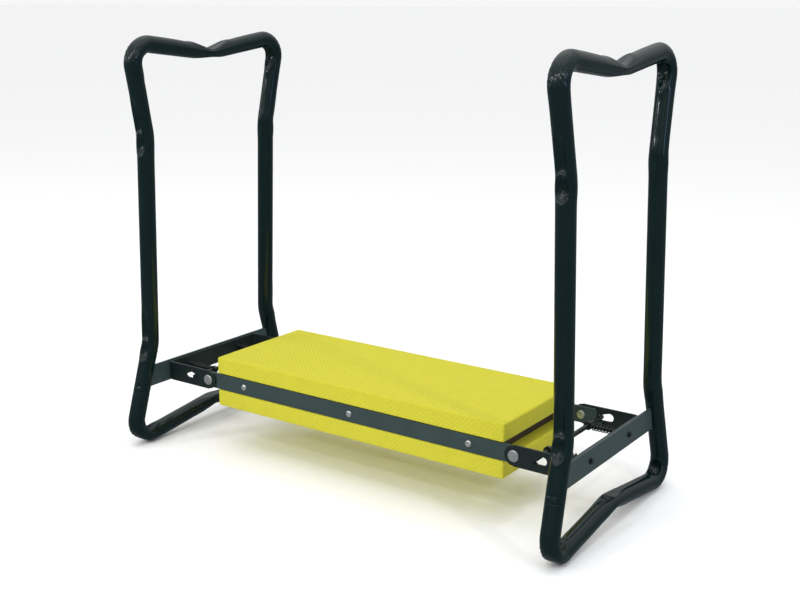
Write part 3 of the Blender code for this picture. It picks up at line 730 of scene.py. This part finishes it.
def wall_outline(tubes, route, shoulder, lead, bore):
    """Places and radii of the rings that close a tube's wall: out over the first end's (place, radius)
    pairs in lead, along the skin, over the mirrored second end, and back through the bore."""
    end = route.along[-1]
    start = shoulder + tubes.lip
    skin = ring_places(route, start, end - start, *SKIN_SPACING)
    inner = ring_places(route, start, end - start, *BORE_SPACING)[::-1]
    lead_places, lead_radii = np.transpose(lead)
    bore_places, bore_radii = np.transpose(bore)
    places = [lead_places, skin, end - lead_places[::-1], end - bore_places[::-1], inner, bore_places]
    radii = [lead_radii, np.full(len(skin), tubes.radius), lead_radii[::-1], bore_radii[::-1],
             np.full(len(inner), tubes.radius - tubes.wall), bore_radii]
    return np.concatenate(places), np.concatenate(radii)


def handle_hoop_rings(tubes, plane_x):
    """Outer skin, rounded lips and inner wall of a handle hoop, as one closed set of rings."""
    half = [(leg_y(tubes, -tubes.seam_depth), -tubes.seam_depth), (tubes.upright_y, tubes.low_bend),
            (tubes.upright_y, tubes.waist), (tubes.top_corner_y, tubes.top_corner)]
    route = mirrored_route(half, (0.0, tubes.top_corner - tubes.grip_dip),
                           [tubes.low_radius, tubes.waist_radius, tubes.corner_radius],
                           tubes.dip_radius)
    marks = [LOW_MARKS, WAIST_MARKS, CORNER_MARKS, DIP_MARKS,
             mirrored(CORNER_MARKS), mirrored(WAIST_MARKS), mirrored(LOW_MARKS)]
    bore = [(0.0, tubes.radius - tubes.wall)]
    places, radii = wall_outline(tubes, route, 0.0, lip_pairs(tubes, 0.0), bore)
    return tube_rings(tubes, route, places, radii, marks, plane_x, crimped=True)


def foot_hoop_rings(tubes, plane_x):
    """Spigots, shoulders and foot bar of a foot hoop, as one closed set of rings."""
    top = tubes.spigot * math.cos(leg_slant(tubes)) - tubes.seam_depth
    half = [(leg_y(tubes, top), top), (tubes.foot_corner_y, -tubes.foot_corner)]
    route = mirrored_route(half, (0.0, tubes.foot_arch - tubes.foot_corner), [tubes.corner_radius],
                           tubes.arch_radius)
    marks = [FOOT_MARKS, ARCH_MARKS, mirrored(FOOT_MARKS)]
    spigot = tubes.radius - tubes.wall - tubes.gap
    shoulder = tubes.spigot + tubes.gap
    lead = [(0.0, spigot), (shoulder, spigot), *lip_pairs(tubes, shoulder)]
    bore = [(shoulder, spigot - tubes.wall), (0.0, spigot - tubes.wall)]
    places, radii = wall_outline(tubes, route, shoulder, lead, bore)
    return tube_rings(tubes, route, places, radii, marks, plane_x)


# Weld beads: shares of the strip's thickness along it, then shares of the bead's radius
WELD_LENGTH, WELD_MIDDLE = 1.6, 0.3
WELD_FLATNESS, WELD_INSET, WELD_RIPPLE = 0.45, 0.4, 0.08
WELD_RIPPLE_TURN = 40   # radians of ripple along one bead
WELD_TIP = 0.02         # square of the share of the radius that is left at a bead's ends
WELD_RINGS, WELD_SIDES = 26, 20


def crossbar_weld_rings(tubes, steel, plane_x, side, top):
    """A weld bead along the top or bottom corner between crossbar and leg. Cosine ripples swell the
    bead's radius, and its ends taper as a half ellipse."""
    low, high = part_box("crossbar_right")
    thickness = high.x - low.x
    height = (high.z if top else low.z) - PIVOT_Z
    reach = tubes.radius / math.cos(leg_slant(tubes))
    y = side * (leg_y(tubes, height) - reach)
    sign = math.copysign(1, plane_x)
    t = np.linspace(0, 1, WELD_RINGS)[:, None]
    angle = np.linspace(0, 2 * math.pi, WELD_SIDES, endpoint=False)
    swell = np.sqrt(np.clip(1 - (2 * t - 1) ** 2, WELD_TIP, 1))
    radius = steel.weld_radius * swell * (1 + WELD_RIPPLE * np.cos(t * WELD_RIPPLE_TURN))
    x = sign * (low.x + (WELD_MIDDLE + (t - 0.5) * WELD_LENGTH) * thickness) + 0 * angle
    z = PIVOT_Z + height + WELD_FLATNESS * radius * np.sin(angle)
    inset = (1 if top else -1) * WELD_INSET * steel.weld_radius
    return np.stack([x, y + radius * np.cos(angle), z - inset], axis=-1)


class KneelerAddLegFrames(bpy.types.Operator):
    """Bent and pressed tube hoops of both leg frames, with the welds at their crossbars"""

    bl_idname = "kneeler.add_leg_frames"
    bl_label = "Add leg frames"

    def execute(self, context):
        tubes, steel = sizes("tubes"), sizes("steel")
        paint = finish_of("gloss_tube")
        for side, sign in SIDES:
            body = f"{side}_leg_frame"
            for kind, rings in (("handle", handle_hoop_rings), ("foot", foot_hoop_rings)):
                tube = add_ring_piece(f"{kind}_tube_{side}", rings(tubes, sign * FRAME_X))
                dress(tube, paint, "gloss_tube", body, f"{kind}_hoop_{side}")
            for place, y_sign in PLACES:
                for level, top in (("top", True), ("bottom", False)):
                    rings = crossbar_weld_rings(tubes, steel, sign * FRAME_X, y_sign, top)
                    bead = add_capped_piece(f"weld_{side}_{place}_{level}", rings)
                    dress(bead, paint, "gloss_tube", body)
        return {"FINISHED"}


# ------------------------------------------------------------------ strips

class KneelerAddStrips(bpy.types.Operator):
    """Side rails, crossbars and hinge brackets with rounded edges"""

    bl_idname = "kneeler.add_strips"
    bl_label = "Add painted strips"

    def execute(self, context):
        edge = sizes("steel").strip_edge
        paint = finish_of("painted_strip")
        for place, _ in PLACES:
            node = f"side_rail_{place}"
            dress(merged_copy(node, f"rail_strip_{place}", edge), paint, "painted_strip", "seat", node)
        for side, _ in SIDES:
            body = f"{side}_leg_frame"
            # The hinge brackets wear the strip paint darkened as painted shade.
            for node, name, finish in ((f"crossbar_{side}", f"crossbar_strip_{side}", paint),
                                       (f"hinge_bracket_{side}", f"bracket_strip_{side}",
                                        finish_of("bracket"))):
                dress(merged_copy(node, name, edge), finish, "painted_strip", body, node)
        return {"FINISHED"}


# ------------------------------------------------------------------ locks

CLOSED_TURNS = 0.8
STEPS_PER_TURN = 28
WIRE_SIDES = 10
ROD_SIDES = 40
ROD_EDGE = 0.8 * MM


def lock_rod_profile(radius, half_length):
    """Profile of a rod whose flat ends are rounded by quarter circles."""
    turn = np.linspace(0, math.pi / 2, 7)
    end = np.stack([radius - ROD_EDGE * (1 - np.sin(turn)), ROD_EDGE * (1 - np.cos(turn))], axis=1)
    flat = np.array([[0.35 * radius, 0.0]])
    near = np.vstack([flat, end]) - [0, half_length]
    far = near[::-1] * [1, -1]
    return np.vstack([near, far])


def spring_rings(start, end, radius, wire, coils):
    """A wire circle carried along a helix. The end turns rise by one wire a turn, so that they close
    up, and the turns between them share the rest evenly."""
    t = np.linspace(0, coils, int(coils * STEPS_PER_TURN) + 1)
    rise = math.copysign(wire * CLOSED_TURNS, end.x - start.x)
    x = np.interp(t, [0, CLOSED_TURNS, coils - CLOSED_TURNS, coils],
                  [start.x, start.x + rise, end.x - rise, end.x])
    turn = 2 * math.pi * t
    out = np.stack([0 * t, np.cos(turn), np.sin(turn)], axis=1)
    centre = np.stack([x, start.y + 0 * t, start.z + 0 * t], axis=1) + out * radius
    angle = np.linspace(0, 2 * math.pi, WIRE_SIDES, endpoint=False)[None, :, None]
    ring = out[:, None, :] * np.cos(angle) + np.array([1.0, 0, 0]) * np.sin(angle)
    return centre[:, None, :] + ring * wire / 2


class KneelerAddLocks(bpy.types.Operator):
    """Cross rods, guide rods and compression springs of both locks"""

    bl_idname = "kneeler.add_locks"
    bl_label = "Add locks"

    def execute(self, context):
        steel = sizes("steel")
        metal = finish_of("spring_steel")
        travel = {j["name"]: j["range_m"][1] for j in frame["joints"] if "range_m" in j}
        for side, sign in SIDES:
            rod = f"lock_rod_{side}"
            size, centre = box_size(rod), box_middle(rod)
            rings = turned(lock_rod_profile(size.x / 2, size.y / 2), ROD_SIDES, centre, (0, 1, 0))
            piece = add_capped_piece(f"cross_rod_{side}", rings)
            dress(piece, metal, "spring_steel", f"{side}_lock", rod)
            for place, _ in PLACES:
                node = f"guide_rod_{side}_{place}"
                piece = merged_copy(node, f"guide_{side}_{place}", steel.rod_edge)
                dress(piece, metal, "spring_steel", f"{side}_lock", node)
                self.add_spring(steel, metal, side, sign, place, travel[f"{side}_lock_pull"])
        return {"FINISHED"}

    def add_spring(self, steel, metal, side, sign, place, travel):
        """One spring between the ends of its frame node, carried by its leg frame."""
        node = f"lock_spring_{side}_{place}"
        low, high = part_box(node)
        centre = (low + high) / 2
        near, far = (low.x, high.x) if sign > 0 else (high.x, low.x)
        half_wire = steel.spring_wire / 2
        start = Vector((near + sign * half_wire, centre.y, PIVOT_Z))
        end = Vector((far - sign * half_wire, centre.y, PIVOT_Z))
        radius = (high.y - low.y - steel.spring_wire) / 2
        rings = spring_rings(start, end, radius, steel.spring_wire, steel.spring_coils)
        spring = add_capped_piece(f"spring_{side}_{place}", rings)
        dress(spring, metal, "spring_steel", f"{side}_leg_frame", node)
        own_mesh(spring)


# ------------------------------------------------------------------ fasteners

RIVET_RIM, RIVET_CROWN, RIVET_RIM_FULLNESS = 0.9 * MM, 0.25 * MM, 0.6
HEAD_SIDE_POWER, HEAD_TOP_POWER = 0.8, 0.75
CROSS_ARM, CROSS_REACH, CROSS_DEPTH = 0.42 * MM, 0.52, 1.1 * MM
POINT_LENGTH, THREAD_START = 4 * MM, 1.5 * MM
POLE_ANGLE, POINT_SHARE = 0.06, 0.06
RIVET_SIDES, SCREW_SIDES = 56, 64
HEAD_RINGS, SHANK_RINGS = 22, 150


def rivet_cap(radius, height):
    """Profile of a rivet head from its middle to its foot: a crown that falls with the square of the
    radius, and a rim that turns down as a rounded quarter."""
    rim, crown = RIVET_RIM, RIVET_CROWN
    flat = np.linspace(0.0, radius - rim, 8)[1:]
    turn = np.linspace(0, math.pi / 2, 9)[1:]
    dome = np.stack([flat, height - crown * (flat / (radius - rim)) ** 2], axis=1)
    fall = (height - crown) * np.cos(turn) ** RIVET_RIM_FULLNESS
    edge = np.stack([radius - rim + rim * np.sin(turn), fall], axis=1)
    return np.vstack([dome, edge])


def rivet_profile(head, tail, shank, half_grip, height):
    """Profile of a rivet from its inner to its outer head."""
    inner = rivet_cap(tail, height) * [1, -1] - [0, half_grip]
    outer = rivet_cap(head, height)[::-1] + [0, half_grip]
    return np.vstack([inner, [[shank, -half_grip], [shank, half_grip]], outer])


def cross_arm(along, across, head):
    """Depth share of one arm of a cross recess: exp(-(across / arm)^4) exp(-(along / reach)^6)."""
    return np.exp(-((across / CROSS_ARM) ** 4)) * np.exp(-((along / (CROSS_REACH * head)) ** 6))


def screw_rings(steel, head, shank_length, head_height, origin, axis):
    """A pan-head screw: a head whose top is a dome with a cross pressed into it, and a shank whose
    radius follows a triangle wave of height and angle, which makes the thread, down to a point."""
    angle = np.linspace(0, 2 * math.pi, SCREW_SIDES, endpoint=False)
    turn = np.linspace(POLE_ANGLE, math.pi / 2, HEAD_RINGS)[:, None]
    radius = head * np.sin(turn) ** HEAD_SIDE_POWER
    height = head_height * np.cos(turn) ** HEAD_TOP_POWER
    x, y = radius * np.cos(angle), radius * np.sin(angle)
    cross = np.maximum(cross_arm(x, y, head), cross_arm(y, x, head)) * CROSS_DEPTH
    head_rings = np.stack([x, y, height - cross], axis=-1)
    depth = np.linspace(0, shank_length, SHANK_RINGS)[:, None]
    taper = np.clip((shank_length - depth) / POINT_LENGTH, POINT_SHARE, 1)
    phase = (depth / steel.screw_pitch + angle / (2 * math.pi)) % 1.0
    thread = np.clip(1 - np.abs(phase - 0.5) * 4, 0, 1) * np.clip(depth / THREAD_START, 0, 1)
    core = steel.screw_shank / 2 - steel.screw_thread * (1 - thread)
    shank_rings = np.stack([core * taper * np.cos(angle), core * taper * np.sin(angle),
                            -depth + 0 * angle], axis=-1)
    return stood_on(np.concatenate([head_rings, shank_rings]), origin, axis)


class KneelerAddFasteners(bpy.types.Operator):
    """Pivot rivets and the rails' screws"""

    bl_idname = "kneeler.add_fasteners"
    bl_label = "Add rivets and screws"

    def execute(self, context):
        steel = sizes("steel")
        zinc = finish_of("zinc_plate")
        for place, sign in PLACES:
            for side, _ in SIDES:
                node = f"pivot_rivet_{place}_{side}"
                size, centre = box_size(node), box_middle(node)
                half_grip = size.y / 2 - steel.rivet_height
                profile = rivet_profile(size.x / 2, steel.rivet_tail / 2, steel.rivet_shank / 2,
                                        half_grip, steel.rivet_height)
                rings = turned(profile, RIVET_SIDES, centre, (0, sign, 0))
                piece = add_capped_piece(f"rivet_{place}_{side}", rings)
                dress(piece, zinc, "zinc_plate", "seat", node)
            for end in SCREW_NAMES:
                node = f"rail_screw_{place}_{end}"
                low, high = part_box(node)
                centre = (low + high) / 2
                outer_y = high.y if sign > 0 else low.y
                inner_y = low.y if sign > 0 else high.y
                head_height = abs(outer_y) - RAIL_OUTER_Y
                origin = (centre.x, sign * RAIL_OUTER_Y, centre.z)
                rings = screw_rings(steel, (high.x - low.x) / 2, RAIL_OUTER_Y - abs(inner_y),
                                    head_height, origin, (0, sign, 0))
                piece = add_capped_piece(f"screw_{place}_{end}", rings)
                dress(piece, zinc, "zinc_plate", "seat", node)
        return {"FINISHED"}


# ------------------------------------------------------------------ seat

PAD_STEPS = (4 * MM, 4 * MM, 2 * MM)
SEAM_DISTANCE = 0.005 * MM
WAVES_FADE = 18 * MM
WAVE_RATIO = 1.3


def axis_stations(half, radius, step):
    """Places from -half to half: close together within a radius of each end, a step apart between."""
    turn = np.linspace(0, math.pi / 2, 6)
    end = half - radius * (1 - np.sin(turn))
    inner = half - radius
    between = np.linspace(-inner, inner, max(2, int(2 * inner / step)) + 1)
    return np.unique(np.round(np.concatenate([-end, between, end]), 7))


def box_skin(stations):
    """The six faces of a box as grids over the given stations on each axis."""
    points, quads, count = [], [], 0
    for axis in range(3):
        u_axis, v_axis = (axis + 1) % 3, (axis + 2) % 3
        u, v = np.meshgrid(stations[u_axis], stations[v_axis], indexing="ij")
        for end in (0, -1):
            face = np.empty((*u.shape, 3))
            face[..., axis] = stations[axis][end]
            face[..., u_axis], face[..., v_axis] = u, v
            rows, columns = u.shape
            i, j = np.meshgrid(np.arange(rows - 1), np.arange(columns - 1), indexing="ij")
            corner = count + (i * columns + j).ravel()
            order = [corner, corner + columns, corner + columns + 1, corner + 1]
            quads.append(np.stack(order if end else order[::-1], axis=1))
            points.append(face.reshape(-1, 3))
            count += rows * columns
    return np.vstack(points), np.vstack(quads)


def foam_block(name, low, high, pads, phase):
    """A rounded block: each point of a box's skin is moved onto the surface one edge radius away
    from the box's core, and then along z by slow waves, sin x sin y, which fade out at the rims."""
    half = np.array((high - low) / 2)
    centre = np.array((high + low) / 2)
    radius = pads.edge_radius
    skin, quads = box_skin([axis_stations(h, radius, step) for h, step in zip(half, PAD_STEPS)])
    core = np.clip(skin, -(half - radius), half - radius)
    away = skin - core
    away /= np.linalg.norm(away, axis=1, keepdims=True)
    points = core + radius * away
    from_rim = np.min(half[:2] - np.abs(points[:, :2]), axis=1)
    share = np.clip(from_rim / WAVES_FADE, 0, 1)
    rate = 2 * math.pi / pads.wave
    waves = np.sin(rate * points[:, 0] + phase) * np.sin(WAVE_RATIO * rate * points[:, 1] + 2 * phase)
    points[:, 2] += pads.swell * (waves - 1) * 0.5 * share * np.sign(points[:, 2])
    block = add_piece(name, points + centre, quads)
    bm = bmesh.new()
    bm.from_mesh(block.data)
    bmesh.ops.remove_doubles(bm, verts=bm.verts, dist=SEAM_DISTANCE)
    bmesh.ops.recalc_face_normals(bm, faces=bm.faces)
    bm.to_mesh(block.data)
    bm.free()
    block.data.shade_smooth()
    return block


class KneelerAddSeat(bpy.types.Operator):
    """Board and the two foam pads"""

    bl_idname = "kneeler.add_seat"
    bl_label = "Add board and pads"

    def execute(self, context):
        pads, steel = sizes("pads"), sizes("steel")
        board = merged_copy("seat_board", "board", steel.board_edge)
        dress(board, finish_of("board"), "board", "seat", "seat_board")
        for level, phase in (("top", 0.7), ("bottom", 2.1)):
            node = f"foam_pad_{level}"
            low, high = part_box(node)
            pad = foam_block(f"foam_{level}", low, high, pads, phase)
            dress(pad, finish_of("foam"), "foam", "seat", node)
        return {"FINISHED"}


# ------------------------------------------------------------------ stage

WHITE = (1.0, 1.0, 1.0)
LAMP_TARGET = Vector((0.0, 0.0, 0.2))
SKY_HORIZON, SKY_TOP, SKY_STRENGTH = (0.16, 0.17, 0.18), WHITE, 1.30
BACKDROP = (0.93, 0.93, 0.93)
FLOOR_RINGS = (0.02, 0.2, 0.6, 1.5, 4.0, 12.0, 60.0)
FLOOR_SIDES = 96
CAMERA_PLACE = (0.7609, -1.0712, 0.5376)
CAMERA_YAW, CAMERA_PITCH, CAMERA_ROLL = math.radians(34.82), math.radians(14.41), math.radians(0.25)
LENS, SENSOR_WIDTH = 53.4, 36.0
NEAR_CLIP, FAR_CLIP = 0.05, 200.0


class Lamp(NamedTuple):
    """A soft rectangular lamp that faces the object."""

    name: str
    place: tuple
    width: float
    height: float
    radiance: float
    tint: tuple = WHITE


LAMPS = (Lamp("top_softbox", (0.0, 0.1, 1.75), 1.9, 1.7, 0.5),
         Lamp("front_softbox", (-0.6, -2.1, 1.5), 0.42, 0.42, 9.0, (1.0, 0.99, 0.96)),
         Lamp("side_window", (2.2, -0.2, 0.9), 0.25, 0.9, 5.0, (0.35, 0.52, 1.0)),
         Lamp("left_strip", (-2.2, -1.0, 0.9), 0.2, 0.8, 5.0),
         Lamp("spark_lamp_0", (0.5, -1.9, 1.9), 0.10, 0.10, 200.0),
         Lamp("spark_lamp_1", (-1.3, -1.7, 1.1), 0.10, 0.10, 200.0),
         Lamp("spark_lamp_2", (2.0, -0.7, 1.5), 0.10, 0.10, 200.0))


def add_lamp(lamp):
    """One lamp that the camera doesn't see. Its power is radiance times pi times its area."""
    light = bpy.data.lights.new(lamp.name, "AREA")
    light.shape = "RECTANGLE"
    light.size, light.size_y = lamp.width, lamp.height
    light.energy = lamp.radiance * math.pi * lamp.width * lamp.height
    light.color = lamp.tint
    obj = bpy.data.objects.new(lamp.name, light)
    obj.location = lamp.place
    obj.rotation_euler = (LAMP_TARGET - Vector(lamp.place)).to_track_quat("-Z", "Y").to_euler()
    obj.visible_camera = False
    bpy.context.scene.collection.objects.link(obj)


def add_floor():
    """A round pale floor at the feet, left out of glossy reflections so that it doesn't grey the dark
    paint."""
    rings = np.array(FLOOR_RINGS)[:, None]
    angle = np.linspace(0, 2 * math.pi, FLOOR_SIDES, endpoint=False)
    grid = np.stack([rings * np.cos(angle), rings * np.sin(angle), 0 * rings * angle], axis=-1)
    points = grid.reshape(-1, 3)
    quads = grid_quads(len(rings), FLOOR_SIDES, False)
    inner = np.arange(FLOOR_SIDES)
    hub = np.stack([inner, np.roll(inner, -1), np.full(FLOOR_SIDES, len(points))], axis=1)
    floor = add_piece("floor", np.vstack([points, [[0, 0, 0]]]), quads[:, ::-1], hub)
    finish = Finish("studio_floor", tuple(sizes("colours").floor), 0.9, specular=0.1)
    finish.connect("Roughness", finish.spread(finish.noise(6.0), 0.3, 0.7, 0.85, 0.95))
    floor.data.materials.append(finish.material)
    floor.visible_glossy = False


def set_world():
    """A pale backdrop, and for lighting a sky that is bright overhead and dim at the horizon."""
    world = bpy.data.worlds.new("studio")
    bpy.context.scene.world = world
    world.use_nodes = True
    tree = world.node_tree
    tree.nodes.clear()
    place = tree.nodes.new("ShaderNodeTexCoord")
    split = tree.nodes.new("ShaderNodeSeparateXYZ")
    tree.links.new(place.outputs["Generated"], split.inputs[0])
    ramp = tree.nodes.new("ShaderNodeValToRGB")
    for stop, tint in zip(ramp.color_ramp.elements, (SKY_HORIZON, SKY_TOP)):
        stop.color = (*tint, 1.0)
    tree.links.new(split.outputs["Z"], ramp.inputs["Fac"])
    sky = tree.nodes.new("ShaderNodeBackground")
    tree.links.new(ramp.outputs["Color"], sky.inputs["Color"])
    sky.inputs["Strength"].default_value = SKY_STRENGTH
    backdrop = tree.nodes.new("ShaderNodeBackground")
    backdrop.inputs["Color"].default_value = (*BACKDROP, 1.0)
    path = tree.nodes.new("ShaderNodeLightPath")
    mix = tree.nodes.new("ShaderNodeMixShader")
    tree.links.new(path.outputs["Is Camera Ray"], mix.inputs[0])
    tree.links.new(sky.outputs[0], mix.inputs[1])
    tree.links.new(backdrop.outputs[0], mix.inputs[2])
    output = tree.nodes.new("ShaderNodeOutputWorld")
    tree.links.new(mix.outputs[0], output.inputs["Surface"])


def add_camera():
    """A camera at the right front, a little above the handles, looking down on the seat."""
    lens = bpy.data.cameras.new("camera")
    lens.lens = LENS
    lens.sensor_width = SENSOR_WIDTH
    lens.clip_start, lens.clip_end = NEAR_CLIP, FAR_CLIP
    camera = bpy.data.objects.new("camera", lens)
    aim = Matrix.Rotation(CAMERA_YAW, 4, "Z") @ Matrix.Rotation(math.pi / 2 - CAMERA_PITCH, 4, "X")
    aim = aim @ Matrix.Rotation(CAMERA_ROLL, 4, "Z")
    camera.matrix_world = Matrix.Translation(CAMERA_PLACE) @ aim
    bpy.context.scene.collection.objects.link(camera)
    bpy.context.scene.camera = camera


class KneelerAddStage(bpy.types.Operator):
    """Pale floor, soft lamps, sky and camera"""

    bl_idname = "kneeler.add_stage"
    bl_label = "Add studio"

    def execute(self, context):
        add_floor()
        set_world()
        for lamp in LAMPS:
            add_lamp(lamp)
        add_camera()
        context.scene.view_settings.view_transform = "Standard"
        return {"FINISHED"}


# ------------------------------------------------------------------ panel and start

class KneelerPanel(bpy.types.Panel):
    """Builds and settings of the kneeler"""

    bl_idname = "VIEW3D_PT_kneeler"
    bl_label = "Kneeler"
    bl_space_type = "VIEW_3D"
    bl_region_type = "UI"
    bl_category = "Kneeler"

    def draw(self, context):
        for operator in OPERATORS:
            self.layout.operator(operator.bl_idname)
        for group in GROUPS:
            box = self.layout.box()
            settings = sizes(group)
            for name in settings.__annotations__:
                box.prop(settings, name)


OPERATORS = (KneelerAddLegFrames, KneelerAddStrips, KneelerAddLocks, KneelerAddFasteners,
             KneelerAddSeat, KneelerAddStage)
GROUPS = {"tubes": KneelerTubeSizes, "pads": KneelerPadSizes, "steel": KneelerSteelSizes,
          "colours": KneelerColours}


def register():
    """Register the settings, operators and panel."""
    for group, settings in GROUPS.items():
        bpy.utils.register_class(settings)
        setattr(bpy.types.Scene, f"kneeler_{group}", PointerProperty(type=settings))
    for operator in OPERATORS:
        bpy.utils.register_class(operator)
    bpy.utils.register_class(KneelerPanel)


def unregister():
    """Remove them again."""
    bpy.utils.unregister_class(KneelerPanel)
    for operator in reversed(OPERATORS):
        bpy.utils.unregister_class(operator)
    for group, settings in GROUPS.items():
        delattr(bpy.types.Scene, f"kneeler_{group}")
        bpy.utils.unregister_class(settings)


def main():
    """Build everything."""
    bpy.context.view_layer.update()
    register()
    bpy.ops.kneeler.add_leg_frames()
    bpy.ops.kneeler.add_strips()
    bpy.ops.kneeler.add_locks()
    bpy.ops.kneeler.add_fasteners()
    bpy.ops.kneeler.add_seat()
    bpy.ops.kneeler.add_stage()


if __name__ == "__main__":
    main()
